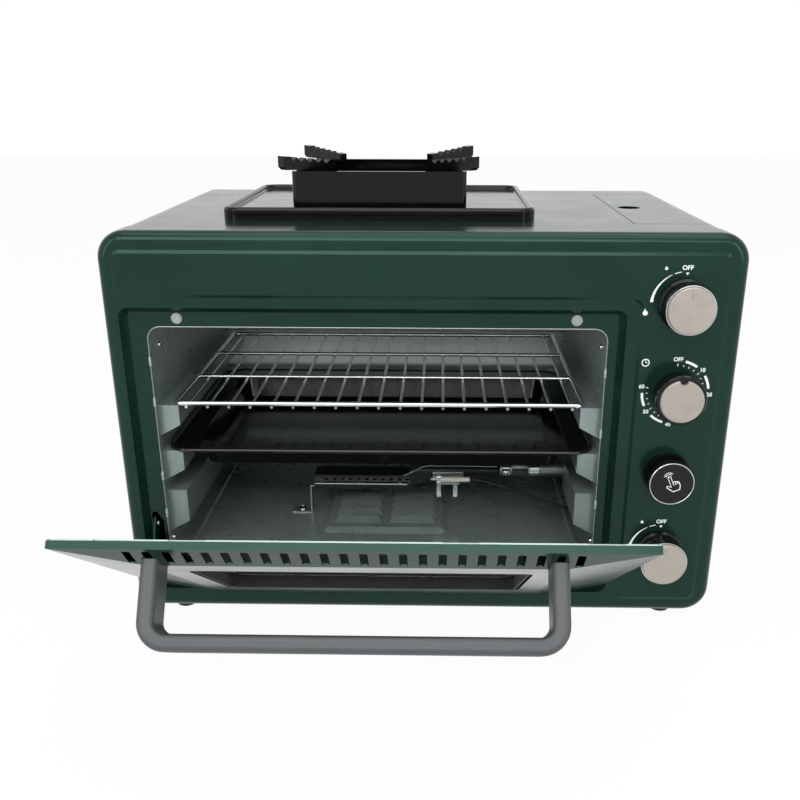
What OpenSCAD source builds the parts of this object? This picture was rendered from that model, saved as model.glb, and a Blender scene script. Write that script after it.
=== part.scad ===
// Portable gas camping oven with one hob burner on top. Millimetres, +Z up, the open door faces -Y.
// The origin is the middle of the footprint box, on the floor under the rubber feet.

/* [Body] */
// Width of the front panel
body_w = 520; // [460:600]
// Height of the front panel without the feet
body_h = 340; // [320:400]
// Depth from the front panel to the back
body_d = 330; // [300:380]
// Corner radius of the front panel
corner_r = 23; // [14:30]
// Bend radius round the edge of the front panel
bend_r = 9; // [5:12]
// Thickness of the body sheet
sheet = 1; // [0.8:0.1:1.4]
// Width of the control strip right of the door
control_w = 94; // [90:110]
// Height of the rubber feet
foot_h = 8; // [5:14]

/* [Door] */
// Angle from closed to the stop, which is how the door is drawn
open_deg = 55; // [40:70]
// Number of vent slots along the free edge
slots = 24; // [12:28]
// Distance from the door face to the outside of the handle
handle_reach = 57; // [45:70]
// Outside width of the handle
handle_w = 285; // [220:310]
// Diameter of the hinge pins
hinge_pin_d = 5; // [4:0.5:6]

/* [Cavity] */
// Heights of the three shelf ledges above the panel's bottom edge
ledge_z = [190, 148, 110];
// Number of fore-and-aft wires in the rack
rack_wires = 19; // [12:24]
// Thickness of the rack's frame wire
wire_d = 4.6; // [3.5:0.1:5.5]

/* [Hob] */
// Side of the square wind shield under the pan arms
shield_w = 152; // [120:160]
// Height of the wind shield
shield_h = 32; // [24:40]

/* [Controls] */
// Spacing of the four controls
knob_pitch = 73.9; // [62:78]
// Diameter of the gas knobs
knob_d = 42; // [36:46]
// Travel of the flame safety button
button_travel = 5; // [3:0.5:6]

/* [Fits] */
// Radial gap of a turning fit
run_fit = 0.05;
// Gap between sliding or lifting parts
slide_fit = 0.3;

/* [Hidden] */
green = [0.14, 0.24, 0.20];
steel = [0.62, 0.64, 0.64];
chrome = [0.80, 0.80, 0.80];
enamel = [0.06, 0.06, 0.06];
plastic = [0.12, 0.12, 0.12];
$fn = 48;
xr = body_w / 2;
lip_d = 33;                          // depth of the folded edge of the front panel
bead = 1.2;                          // height of the raised strips on the panel
rec_x0 = -xr + 13.5;                 // recess the door closes into
rec_x1 = xr - control_w;
rec_z0 = 20;
rec_z1 = body_h - 61;
rec_d = 8;
rec_run = 5;
cav_x0 = rec_x0 + 18.5;              // inside faces of the oven cavity
cav_x1 = rec_x1 - 12;
cav_z0 = 46;
cav_z1 = rec_z1 - 17;
cav_y0 = rec_d + sheet;
cav_y1 = body_d - 38;
cav_xm = (cav_x0 + cav_x1) / 2;
door_xm = (rec_x0 + rec_x1) / 2;
door_w = rec_x1 - rec_x0 - 2 * rec_run - 2.5;
piv_y = 2;
piv_z = 27;
door_top = rec_z1 - rec_run - 0.8 - piv_z;   // free edge, measured from the pivot
door_out = -10;                              // outer face, frame back and edge, in pivot terms
door_back = 4;
door_edge = -2.5;
slope_h = 27;
grip_t = 12;
slope_w = (door_w - handle_w + grip_t) / 2 - 5;   // the handle stands on the flat between the slopes
grip_h = 28;
grip_z = door_top - 15 - grip_h / 2;
grip_y = door_out - handle_reach + grip_t / 2;
win_w = handle_w - 39;
win_z0 = door_top - 196;
win_z1 = door_top - 60;
hob_x = door_xm + 1.5;
hob_y = 171;
ctl_x = (rec_x1 + xr) / 2 - 3;
ctl_z = [for (i = [0:3]) body_h - 55.5 - i * knob_pitch];
led_w = 18;
burn_y = 115;
burn_z = 76;
lid_x0 = rec_x1 + 12;
lid_y0 = 62;
lid_y1 = body_d - 40;
lid_pin_x = xr - 2;
lid_pin_z = body_h - 27;
casing_w = body_w - 2 * sheet;
top = body_h - sheet;                 // upper surface of the casing
stem_d = 8;

// How far the handle reaches in front of the pivot when the door is open
grip_in = 4;
reach = abs(sin(open_deg)) * (grip_z + grip_h / 2 - grip_in)
      + cos(open_deg) * (-grip_y + grip_t / 2 - grip_in) + grip_in - piv_y;
y_shift = (reach - body_d) / 2;

module P() translate([0, y_shift, foot_h]) children();
// Drawn flat, then stood up at depth y: drawing X is X, drawing Y is Z, and height comes forward
module front(y = 0) translate([0, y, 0]) rotate([90, 0, 0]) children();
// Door space: the origin on the hinge line, +Z along the door, -Y outwards
module at_door() P() translate([door_xm, piv_y, piv_z]) rotate([open_deg, 0, 0]) children();

function box_pts(x0, y0, x1, y1) = [[x0, y0], [x1, y0], [x1, y1], [x0, y1]];
function cross2(a, b) = a[0] * b[1] - a[1] * b[0];

// Rectangle between two corners with radiused corners
module rr(x0, y0, x1, y1, r) {
  translate([x0 + r, y0]) square([x1 - x0 - 2 * r, y1 - y0]);
  translate([x0, y0 + r]) square([x1 - x0, y1 - y0 - 2 * r]);
  for (x = [x0 + r, x1 - r], y = [y0 + r, y1 - r]) translate([x, y]) circle(r);
}

// Carries a flat profile round a square-cornered path with radius r. Profile x is outward from the path.
module loop(pts, r) {
  n = len(pts);
  for (i = [0:n - 1]) {
    a = pts[i];
    b = pts[(i + 1) % n];
    c = pts[(i + 2) % n];
    t = atan2(b[1] - a[1], b[0] - a[0]);
    u = (b - a) / norm(b - a);
    v = (c - b) / norm(c - b);
    m = b - r * u + r * v;
    translate([a[0], a[1], 0]) rotate([0, 0, t]) translate([r, 0, 0]) rotate([90, 0, 90])
      linear_extrude(norm(b - a) - 2 * r) mirror([1, 0]) children();
    translate([m[0], m[1], 0])
      if (cross2(u, v) > 0) rotate([0, 0, t - 90]) rotate_extrude(angle = 90) translate([r, 0]) children();
      else rotate([0, 0, t]) rotate_extrude(angle = 90) translate([r, 0]) mirror([1, 0]) children();
  }
}

module rod_x(x0, x1, y, z, d) translate([x0, y, z]) rotate([0, 90, 0]) cylinder(h = x1 - x0, d = d);
module rod_y(y0, y1, x, z, d) translate([x, y0, z]) rotate([-90, 0, 0]) cylinder(h = y1 - y0, d = d);
module box(a, b) translate(a) cube(b - a);

// Round lead along a smooth curve with two pull points
function curve(p, q, r, s, t) =
  pow(1 - t, 3) * p + 3 * pow(1 - t, 2) * t * q + 3 * (1 - t) * t * t * r + pow(t, 3) * s;
module lead(p, q, r, s, n, d) for (i = [0:n - 1]) hull() for (t = [i, i + 1] / n)
  translate(curve(p, q, r, s, t)) sphere(d = d, $fn = 10);

// ---- Body ----
function strip_pts(i) = [[xr - 13.5 - i, 13.5 + i], [xr - 13.5 - i, body_h - 14.5 - i],
  [-xr + 12 + i, body_h - 14.5 - i], [-xr + 12 + i, body_h - 52.7 + i],
  [rec_x1 + 10 + i, body_h - 52.7 + i], [rec_x1 + 10 + i, 13.5 + i]];

module front_panel() color(green) P() front() {
  loop(box_pts(-xr, 0, xr, body_h), corner_r) {
    translate([-bend_r, -bend_r]) intersection() {
      difference() { circle(bend_r); circle(bend_r - sheet); }
      square(bend_r);
    }
    translate([-sheet, -lip_d]) square([sheet, lip_d - bend_r]);
  }
  difference() {
    union() {
      translate([0, 0, -sheet]) linear_extrude(sheet) difference() {
        rr(-xr + bend_r, bend_r, xr - bend_r, body_h - bend_r, corner_r - bend_r);
        rr(rec_x0, rec_z0, rec_x1, rec_z1, 8);
      }
      // Raised strips across the top and down the control side
      loop(strip_pts(0), 8) polygon([[0, -0.4], [0, 0], [-2.6, bead], [-3, bead], [-3, -0.4]]);
      translate([0, 0, -0.4]) linear_extrude(bead + 0.4) {
        rr(-xr + 14.8, body_h - 49.9, xr - 16.3, body_h - 17.3, 5);
        rr(rec_x1 + 12.8, 16.3, xr - 16.3, body_h - 17.3, 5);
        difference() {
          translate([rec_x1 + 1.8, body_h - 60.9]) square([11.2, 11.2]);
          translate([rec_x1 + 1.8, body_h - 60.9]) circle(11);
        }
      }
    }
    for (i = [0, 1, 3]) translate([ctl_x, ctl_z[i], -5]) cylinder(h = 10, d = 11);
    translate([ctl_x, ctl_z[2], -5]) cylinder(h = 10, d = 30.8);
  }
  // Recess the door closes into, with the cavity opening and the stay slot
  loop(box_pts(rec_x0, rec_z0, rec_x1, rec_z1), 8)
    polygon([[0.5, -sheet], [0.5, 0], [0, 0], [-rec_run, -rec_d], [-rec_run - 0.8, -rec_d],
             [-rec_run - 0.8, -rec_d - sheet], [-rec_run + 0.5, -rec_d - sheet], [0, -sheet - 0.4]]);
  translate([0, 0, -rec_d - sheet]) linear_extrude(sheet) difference() {
    rr(rec_x0 + rec_run, rec_z0 + rec_run, rec_x1 - rec_run, rec_z1 - rec_run, 3);
    rr(cav_x0 + 1, cav_z0 + 3, cav_x1 - 1, cav_z1 - 0.5, 11);
    translate([door_xm - door_w / 2 - 4.2, piv_z + 2]) {
      square([14, 55]);
      translate([7, 55]) polygon([[-7, 0], [7, 0], [1.6, 9], [-1.6, 9]]);
    }
  }
}

module casing_2d(i) {
  r = corner_r - sheet - i;
  difference() {
    rr(-casing_w / 2 + i, sheet + i, casing_w / 2 - i, body_h - sheet - i, r);
    translate([-body_w, -1]) square([2 * body_w, 25]);
  }
}
module casing_shell(y0, y1) translate([0, y1, 0]) rotate([90, 0, 0]) linear_extrude(y1 - y0) difference() {
  casing_2d(0);
  translate([0, -0.01]) casing_2d(sheet);
  translate([-casing_w / 2 + sheet, 20]) square([casing_w - 2 * sheet, 20]);
}
module lid_window(g) box([lid_x0 + g, lid_y0 + g, lid_pin_z + 2.4 + g], [body_w, lid_y1 - g, body_h + 5]);

module outer_casing() color(green) P() difference() {
  casing_shell(lip_d - 8, body_d - 1);
  lid_window(0);
  translate([hob_x, hob_y, body_h - 5]) cylinder(h = 10, d = 96);
  box([xr - 5, lid_y0, lid_pin_z - 2.4], [xr + 1, lid_y1, lid_pin_z + 3]);
  // Air slots low on both sides
  for (k = [0:7]) box([-body_w, 90 + 24 * k, 60], [-xr + 8, 98 + 24 * k, 64]);
  for (k = [0:7]) box([xr - 8, 90 + 24 * k, 60], [body_w, 98 + 24 * k, 64]);
}

module base_pan() color(green) P() difference() {
  translate([0, body_d - 1, 0]) rotate([90, 0, 0]) linear_extrude(body_d - lip_d + 7) intersection() {
    difference() {
      rr(-casing_w / 2, sheet, casing_w / 2, top, corner_r - sheet);
      rr(-casing_w / 2 + sheet, 2 * sheet, casing_w / 2 - sheet, top - sheet, corner_r - 2 * sheet);
    }
    translate([-body_w / 2, 0]) square([body_w, 24]);
  }
  for (x = [-120:40:40], y = [140:24:236]) translate([x, y, 0]) cube([26, 6, 12]);
}

module back_panel() color(green) P() difference() {
  translate([0, body_d, 0]) rotate([90, 0, 0]) linear_extrude(1)
    rr(-casing_w / 2, sheet, casing_w / 2, body_h - sheet, corner_r - sheet);
  // Two rows of cooling slots
  for (k = [0:9], z = [body_h - 90, body_h - 55]) box([-165 + 26 * k, body_d - 5, z], [-160 + 26 * k, body_d + 5, z + 22]);
}

module rubber_feet() color(plastic) P()
  for (x = [-1, 1], y = [24, body_d - 24]) translate([x * (xr - 38), y, -foot_h]) {
    cylinder(h = foot_h, d1 = 18, d2 = 20);
    if (y > lip_d) cylinder(h = foot_h + sheet, d = 16);
  }

// ---- Cavity ----
// Pressed shelf ledge with a flat top and a sloped underside; i shrinks it by the sheet
module ledge(z, d, y0, y1, i) translate([0, y1 - i, 0]) rotate([90, 0, 0]) linear_extrude(y1 - y0 - 2 * i)
  polygon([[-i - 0.5, z - i], [led_w - i, z - i], [led_w - i, z - d + 10 + i], [0, z - d + i], [-i - 0.5, z - d + i]]);
// The lowest ledge of the right wall stops either side of the burner tube
module ledges(split, i) for (k = [0:2]) {
  y1 = cav_y1 - 12;
  d = k == 2 ? 40 : 28;
  if (k == 2 && split) {
    ledge(ledge_z[k], d, cav_y0 + 8, burn_y - 18, i);
    ledge(ledge_z[k], d, burn_y + 18, y1, i);
  }
  else ledge(ledge_z[k], d, cav_y0 + 8, y1, i);
}
module cavity_side(split) difference() {
  union() {
    box([-sheet, cav_y0, cav_z0 - 1], [0, cav_y1, cav_z1]);
    ledges(split, 0);
  }
  ledges(split, sheet);
}
module cavity_left() color(steel) P() translate([cav_x0, 0, 0]) cavity_side(false);
module cavity_right() color(steel) P() difference() {
  translate([cav_x1, 0, 0]) mirror([1, 0, 0]) cavity_side(true);
  rod_x(cav_x1 - 1, cav_x1 + 5, burn_y, burn_z + 17, 10.2);
  rod_x(cav_x1 - 1, cav_x1 + 5, lead_y, lead_z, 7);
}
module cavity_top() color(steel) P() difference() {
  box([cav_x0 - sheet, cav_y0, cav_z1], [cav_x1 + sheet, cav_y1 + sheet, cav_z1 + sheet]);
  for (k = [0:4]) box([-150 + 50 * k, cav_y1 - 40, cav_z1 - 1], [-130 + 50 * k, cav_y1 - 34, cav_z1 + 3]);
}
rib_z = [cav_z0 + 44, ledge_z[2] + 20, ledge_z[0] + 20];
module cavity_back() color(steel) P() difference() {
  union() {
    box([cav_x0 - sheet, cav_y1, cav_z0 - 1], [cav_x1 + sheet, cav_y1 + sheet, cav_z1]);
    // pressed stiffening ribs
    for (z = rib_z) rod_x(cav_x0 + 30, cav_x1 - 30, cav_y1 + 1, z, 4);
  }
  for (z = rib_z) rod_x(cav_x0 + 31, cav_x1 - 31, cav_y1 + 1.8, z, 3.2);
}
vent_x0 = cav_xm - 61;
vent_x1 = cav_xm + 61;
vent_y0 = 62;
vent_y1 = 192;
module cavity_floor() color(steel) P() {
  difference() {
    union() {
      box([cav_x0, cav_y0, cav_z0 - 1], [cav_x1, cav_y1, cav_z0]);
      // Side seams folded up along the walls
      for (s = [0, 1]) translate([s ? cav_x1 - 11 : cav_x0 + 11, cav_y0, cav_z0]) rotate([-90, 0, 0])
        linear_extrude(cav_y1 - cav_y0) polygon([[-3, 0], [-1.5, -2], [1.5, -2], [3, 0]]);
      // Raised vent panel
      intersection() {
        translate([0, vent_y1, 0]) rotate([90, 0, 0]) linear_extrude(vent_y1 - vent_y0)
          polygon([[vent_x0, cav_z0 - 1], [vent_x1, cav_z0 - 1], [vent_x1, cav_z0], [vent_x1 - 6, cav_z0 + 4],
                   [vent_x0 + 6, cav_z0 + 4], [vent_x0, cav_z0]]);
        translate([vent_x0 - 1, 0, 0]) rotate([90, 0, 90]) linear_extrude(vent_x1 - vent_x0 + 2)
          polygon([[vent_y0, cav_z0 - 1], [vent_y1, cav_z0 - 1], [vent_y1, cav_z0], [vent_y1 - 6, cav_z0 + 4],
                   [vent_y0 + 6, cav_z0 + 4], [vent_y0, cav_z0]]);
        linear_extrude(80) rr(vent_x0, vent_y0, vent_x1, vent_y1, 12);
      }
      for (x = [cav_xm - 26.5, cav_xm + 26.5], k = [0:5]) louvre(x, vent_y0 + 15 + 18 * k);
    }
    box([vent_x0 + 8, vent_y0 + 8, cav_z0 - 2], [vent_x1 - 8, vent_y1 - 8, cav_z0 + 3]);
    for (x = [cav_xm - 26.5, cav_xm + 26.5], k = [0:5])
      translate([x - 19, vent_y0 + 17 + 18 * k, cav_z0 - 2]) cube([38, 7, 6.9]);
  }
}
// Pressed hood, closed towards the door and open at the back
module louvre(x, y) translate([x, y, cav_z0 + 4]) difference() {
  intersection() {
    translate([-23, 0, 0]) rotate([90, 0, 90]) linear_extrude(46) polygon([[0, -0.5], [0, 0], [9, 4], [9, -0.5]]);
    translate([0, 9.1, 0]) rotate([90, 0, 0]) linear_extrude(9.2) polygon([[-23, -0.5], [-23, 0], [-19, 4],
      [19, 4], [23, 0], [23, -0.5]]);
  }
  translate([-18.4, 0, -1]) rotate([90, 0, 90]) linear_extrude(36.8) polygon([[3, 0], [3, 1.3], [9.3, 4], [9.3, 0]]);
}

// ---- Door ----
module door_side_2d(i) polygon([[door_back - 1, -1 + i], [door_out + i, -1 + i],
  [door_out + i, door_top - slope_h - 0.15 * i], [door_edge + i, door_top - i], [door_back - 1, door_top - i]]);
module door_flat_2d(i) {
  w = door_w / 2 - i;
  polygon([[-w, door_back - 1], [-w, door_edge + i], [-w - i + slope_w, door_out + i],
           [w + i - slope_w, door_out + i], [w, door_edge + i], [w, door_back - 1]]);
}
module door_body(i) intersection() {
  translate([-door_w, 0, 0]) rotate([90, 0, 90]) linear_extrude(2 * door_w) door_side_2d(i);
  translate([0, 0, -5]) linear_extrude(door_top + 10) door_flat_2d(i);
}
lug_x = door_w / 2 - 0.62 * slope_w;
module door_shell() color(green) at_door() difference() {
  door_body(0);
  translate([0, 0.01, 0]) door_body(1);
  // Window
  translate([0, 5, 0]) rotate([90, 0, 0]) linear_extrude(30) rr(-win_w / 2, win_z0, win_w / 2, win_z1, 8);
  // Vent slots along the sloped free edge
  pitch = (door_w - 102) / (slots - 1);
  for (k = [0:slots - 1]) translate([-(slots - 1) * pitch / 2 + k * pitch, 0, door_top - 23])
    translate([0, 0.5, 0]) rotate([90, 0, 0]) linear_extrude(30) rr(-2.75, 0, 2.75, 19, 1.4);
  // Bolt holes for the handle
  for (s = [-1, 1]) rod_y(-20, 0, s * (handle_w - grip_t) / 2, grip_z - 5, 4.2);
  for (s = [-1, 1]) translate([s * lug_x - 9.5, -5.5, -6]) cube([19, 20, 13]);
}
module door_inner_frame() color(steel) at_door() difference() {
  union() {
    front(door_back) translate([0, 0, 0]) linear_extrude(1) rr(-door_w / 2, -1, door_w / 2, door_top, 3);
    // Folded rim that the glass sits in
    front(door_back) loop(box_pts(-win_w / 2 + 2, win_z0 + 2, win_w / 2 - 2, win_z1 - 2), 8)
      polygon([[0, 0], [1, 0], [1, 9], [0, 9]]);
  }
  front(door_back + 1) linear_extrude(3) rr(-win_w / 2 + 2, win_z0 + 2, win_w / 2 - 2, win_z1 - 2, 8);
  for (x = [-door_w / 2 + 31, -door_w * 0.3, door_w * 0.145, door_w * 0.38])
    translate([x, door_back - 2, door_top - 1.5]) cube([24, 4, 4]);
  for (s = [-1, 1]) translate([s * lug_x - 6, -1, -6]) cube([12, 20, 13]);
  // slit for the stay
  translate([-door_w / 2 + 0.5, 0, 7]) cube([3, 20, 41]);
}
module door_glass() color([0.25, 0.28, 0.28, 0.5]) at_door()
  front(door_back - 0.5) linear_extrude(4) rr(-win_w / 2 + 2.1, win_z0 + 2.1, win_w / 2 - 2.1, win_z1 - 2.1, 7.9);

module grip_2d() rr(-grip_t / 2, -grip_h / 2, grip_t / 2, grip_h / 2, grip_in);
module door_handle() color(plastic) at_door() difference() {
  union() {
    hx = (handle_w - grip_t) / 2;
    r = 14;
    for (s = [-1, 1]) {
      translate([s * hx, 0, grip_z]) rotate([90, 0, 0]) linear_extrude(-grip_y - r) grip_2d();
      translate([s * (hx - r), grip_y + r, grip_z]) rotate([0, 0, s > 0 ? -90 : 180])
        rotate_extrude(angle = 90) translate([r, 0]) grip_2d();
    }
    translate([-hx + r, grip_y, grip_z]) rotate([90, 0, 90]) linear_extrude(2 * hx - 2 * r) grip_2d();
  }
  door_body(0);
  box([-door_w, -1 + door_edge, 0], [door_w, 30, 2 * door_top]);
  for (s = [-1, 1]) rod_y(-30, 0, s * (handle_w - grip_t) / 2, grip_z - 5, 4);
}
module handle_screws() color(chrome) at_door() for (s = [-1, 1]) {
  x = s * (handle_w - grip_t) / 2;
  rod_y(-26, door_out + 1.02, x, grip_z - 5, 4);
  difference() {
    rod_y(door_out + 1.02, door_out + 4, x, grip_z - 5, 8);
    translate([x - 0.6, door_out + 2.5, grip_z - 9]) cube([1.2, 4, 8]);
  }
}
module hinge_pins() color(steel) at_door() for (s = [-1, 1]) {
  rod_x(s * lug_x - 9, s * lug_x + 9, 0, 0, hinge_pin_d);
  // Cheeks that carry the pin, welded to the inner frame
  for (c = [-1, 1]) translate([s * lug_x + c * 8 - 1, -3.5, 0]) cube([2, door_back + 2.5, 16]);
}
module hinge_lugs() color(steel) P() for (s = [-1, 1]) translate([door_xm + s * lug_x, 0, 0])
  difference() {
    union() {
      translate([-1, piv_y, piv_z - 1]) cube([2, rec_d - piv_y, 6]);
      rod_x(-1, 1, piv_y, piv_z, hinge_pin_d + 3);
    }
    rod_x(-2, 2, piv_y, piv_z, hinge_pin_d + 2 * run_fit);
  }
module door_stay() color(steel) at_door() translate([-door_w / 2 + 1, 0, 0]) rotate([90, 0, 90])
  linear_extrude(2) difference() {
    polygon([[-1.2, 46], [3, 46], [31, 27], [53, 30], [56, 23], [50, 14], [30, 12], [3, 9], [-1.2, 9]]);
    translate([49, 22]) circle(d = 4);
  }
module door_bumpers() color(chrome) P() for (s = [-1, 1]) translate([door_xm + 3 + 0.41 * s * door_w, rec_d, rec_z1 - 10.3]) {
  rotate([90, 0, 0]) cylinder(h = 0.6, d = 9);
  rotate([90, 0, 0]) cylinder(h = 1.5, d = 6.6);
}

// ---- Rack and tray ----
rack_z = ledge_z[0] + wire_d / 2;
rack_x0 = cav_x0 + led_w - 4.5;
rack_x1 = cav_x1 - led_w + 4.5;
rack_y0 = cav_y0 + 5;
rack_y1 = cav_y1 - 34;
module wire_rack() color(chrome) P() {
  translate([0, 0, rack_z]) loop(box_pts(rack_x0, rack_y0, rack_x1, rack_y1), 9)
    translate([-wire_d / 2, 0]) circle(d = wire_d, $fn = 24);
  for (k = [1, 2]) rod_x(rack_x0 + 2, rack_x1 - 2, rack_y0 + 2 + k * (rack_y1 - rack_y0 - 4) / 3, rack_z, 3.6, $fn = 20);
  step = (rack_x1 - rack_x0 - 24) / (rack_wires - 1);
  for (k = [0:rack_wires - 1]) rod_y(rack_y0 + 0.4, rack_y1 - 0.4, rack_x0 + 12 + k * step, rack_z - 2.6, 2.6, $fn = 16);
}
tray_x0 = cav_x0 + 3;
tray_x1 = cav_x1 - 3;
tray_y0 = cav_y0 + 2;
tray_y1 = cav_y1 - 34;
module bake_tray() color(enamel) P() translate([0, 0, ledge_z[1]]) {
  // rolled rim
  loop(box_pts(tray_x0, tray_y0, tray_x1, tray_y1), 24) {
    translate([-2, 2]) circle(d = 4, $fn = 24);
    translate([-11, 2]) square([9, 1]);
  }
  x0 = tray_x0 + 24;
  x1 = tray_x1 - 24;
  y0 = tray_y0 + 22;
  y1 = tray_y1 - 22;
  difference() {
    translate([0, 0, 2]) linear_extrude(1) rr(tray_x0 + 10, tray_y0 + 10, tray_x1 - 10, tray_y1 - 10, 14);
    linear_extrude(9) rr(x0, y0, x1, y1, 16);
  }
  loop(box_pts(x0, y0, x1, y1), 16) polygon([[0, 3], [0.6, 3], [0.6, 2], [-6, -20], [-7, -20], [-7, -19]]);
  translate([0, 0, -20]) linear_extrude(1) rr(x0 + 6, y0 + 6, x1 - 6, y1 - 6, 10);
}

// ---- Oven burner ----
burn_x0 = cav_xm - 71;
burn_xs = cav_xm + 24;
burn_x1 = cav_xm + 112;
// Side outline of the pressed tube, with its step up in the middle
module burner_side(i) polygon([[burn_x0 + i, burn_z + i], [burn_xs, burn_z + i], [burn_xs + 14, burn_z + 9 + i],
  [burn_x1 + 1, burn_z + 9 + i], [burn_x1 + 1, burn_z + 23 - i], [burn_xs + 12, burn_z + 23 - i],
  [burn_xs - 2, burn_z + 13 - i], [burn_x0 + i, burn_z + 13 - i]]);
module oven_burner() color(plastic) P() difference() {
  union() {
    intersection() {
      translate([0, burn_y + 40, 0]) rotate([90, 0, 0]) linear_extrude(80) burner_side(0);
      union() {
        translate([burn_x0 - 1, burn_y, burn_z + 6.5]) rotate([90, 0, 90])
          linear_extrude(burn_xs - burn_x0 + 1) polygon([[-15, -6.5], [15, -6.5], [15, -1], [11, 6.5], [-11, 6.5], [-15, -1]]);
        translate([burn_xs - 1, burn_y, 0]) rotate([90, 0, 90])
          linear_extrude(burn_x1 - burn_xs + 1) rr(-13, burn_z, 13, burn_z + 23, 5);
      }
    }
    // seam flange round the pressed halves
    translate([burn_x0, burn_y - 18, burn_z + 5.8]) cube([burn_xs - burn_x0 - 2, 36, 1.4]);
  }
  // flame ports along both sides and the gas way
  for (k = [0:10], s = [-1, 1]) translate([burn_x0 + 12 + 8 * k, burn_y + s * 13, burn_z + 7.5])
    rotate([s * 60, 0, 0]) translate([-2, -5, 0]) cube([4, 10, 1.6]);
  rod_x(burn_xs + 16, burn_x1 + 5, burn_y, burn_z + 16, 11);
}
module venturi_tube() color(chrome) P() difference() {
  rod_x(burn_x1, cav_x1 - 6, burn_y, burn_z + 17, 15);
  rod_x(burn_x1 - 1, cav_x1, burn_y, burn_z + 17, 12);
  // air opening
  translate([burn_x1 + 12, burn_y - 12, burn_z + 14]) cube([16, 12, 14]);
}
module jet_nut() color(chrome) P() {
  rod_x(cav_x1 - 6, cav_x1, burn_y, burn_z + 17, 20);
  rod_x(cav_x1 - 0.5, cav_x1 + 16, burn_y, burn_z + 17, 10);
  translate([cav_x1 + sheet, burn_y, burn_z + 17]) rotate([0, 90, 0]) cylinder(h = 8, d = 17, $fn = 6);
  rod_x(cav_x1 - 16, cav_x1 - 5, burn_y, burn_z + 17, 5);
}
module burner_bracket() color(steel) P() translate([0, burn_y + 8, 0]) rotate([90, 0, 0]) linear_extrude(16) {
  x = burn_x0 - 4;
  polygon([[x - 20, cav_z0], [x, cav_z0], [x, burn_z - 1.2], [x + 20, burn_z - 1.2], [x + 20, burn_z],
           [x - 1.2, burn_z], [x - 1.2, cav_z0 + 1.2], [x - 20, cav_z0 + 1.2]]);
}
module bracket_screw() color(chrome) P() translate([burn_x0 - 15, burn_y, cav_z0 + 1.2]) difference() {
  intersection() { cylinder(h = 3, d = 8); translate([0, 0, -2.4]) sphere(d = 10.6); }
  for (a = [0, 90]) rotate([0, 0, a]) translate([-2.5, -0.5, 1.4]) cube([5, 1, 3]);
}
el_x = burn_xs + 36;
el_y = burn_y - 18;
module electrode_bracket() color(chrome) P() {
  // strap on the burner's side, with two spark legs reaching down
  box([el_x - 14, burn_y - 14.2, burn_z + 10], [el_x + 16, burn_y - 13, burn_z + 18]);
  box([el_x - 10, el_y - 6, burn_z + 9], [el_x + 12, burn_y - 13, burn_z + 10.2]);
  for (x = [el_x - 8, el_x + 8]) box([x - 2, el_y - 6, burn_z - 4], [x + 2, el_y - 4.8, burn_z + 10]);
}
module spark_electrode() color([0.92, 0.9, 0.85]) P() {
  rod_x(el_x - 6, el_x + 22, el_y - 1.5, burn_z + 12.7, 5);
  rod_x(el_x - 16, el_x - 5, el_y - 1.5, burn_z + 12.7, 2);
}
lead_y = 84;                          // where the lead passes the cavity wall
lead_z = 62;
module igniter_lead() color(enamel) P() {
  p = [el_x + 23.5, el_y - 1.5, burn_z + 12.7];
  q = [cav_x1 + 6, lead_y, lead_z];
  lead(p, p + [30, 0, 0], q - [40, 0, 0], q, 10, 3);
  // beyond the wall it turns forward to the oven valve
  v = [ctl_x - 15.6, 20, ctl_z[3]];
  lead(q, q + [24, 0, 0], v - [16, 0, 0], v, 8, 3);
}
module lead_grommet() color(plastic) P() difference() {
  union() {
    rod_x(cav_x1 - 1, cav_x1 + 2, lead_y, lead_z, 7);
    rod_x(cav_x1 - 2.5, cav_x1, lead_y, lead_z, 10);
  }
  rod_x(cav_x1 - 6, cav_x1 + 5, lead_y, lead_z, 4.4);
}

// ---- Hob ----
tray_w = 270;
tray_d = 206;
dt_y = hob_y + 4;
module drip_tray() color(enamel) P() translate([hob_x, dt_y, top]) {
  loop(box_pts(-tray_w / 2, -tray_d / 2, tray_w / 2, tray_d / 2), 16) {
    difference() { translate([-3, 8]) circle(r = 3, $fn = 24); translate([-3, 8]) circle(r = 2, $fn = 24);
      translate([-6, 2]) square([6, 6]); }
    translate([-1, 0]) square([1, 8]);
    polygon([[-6, 8], [-5, 8], [-7, 6], [-10, 6], [-10, 7], [-7.4, 7]]);
  }
  difference() {
    translate([0, 0, 6]) linear_extrude(1) rr(-tray_w / 2 + 9, -tray_d / 2 + 9, tray_w / 2 - 9, tray_d / 2 - 9, 7);
    translate([0, hob_y - dt_y, 0]) cylinder(h = 9, d = 124);
  }
  // dish round the burner
  translate([0, hob_y - dt_y, 0]) rotate_extrude() polygon([[63, 7], [62, 7], [62, 6], [55, 2], [44, 2], [44, 1], [55.4, 1], [62.4, 5], [63, 6]]);
}
module hob_burner() color([0.35, 0.35, 0.36]) P() translate([hob_x, hob_y, top]) {
  difference() {
    union() {
      rotate_extrude() polygon([[0, -30], [24, -30], [24, 6], [36, 12], [38, 24], [0, 24]]);
      // mixing tube to the control side, and the strap that holds the burner under the casing
      rod_x(0, lid_x0 - hob_x - 26, 0, -22, 14);
      box([-66, -9, -sheet - 2], [66, 9, -sheet]);
    }
    for (a = [0:15:345]) rotate([0, 0, a]) translate([32, -1, 20]) cube([10, 2, 5]);
    rod_x(lid_x0 - hob_x - 46, lid_x0 - hob_x, 0, -22, 10);
  }
}
module hob_cap() color(enamel) P() translate([hob_x, hob_y, top + 24])
  rotate_extrude() polygon([[0, 0], [40, 0], [40, 2], [37, 4.5], [10, 6], [0, 6]]);
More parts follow.
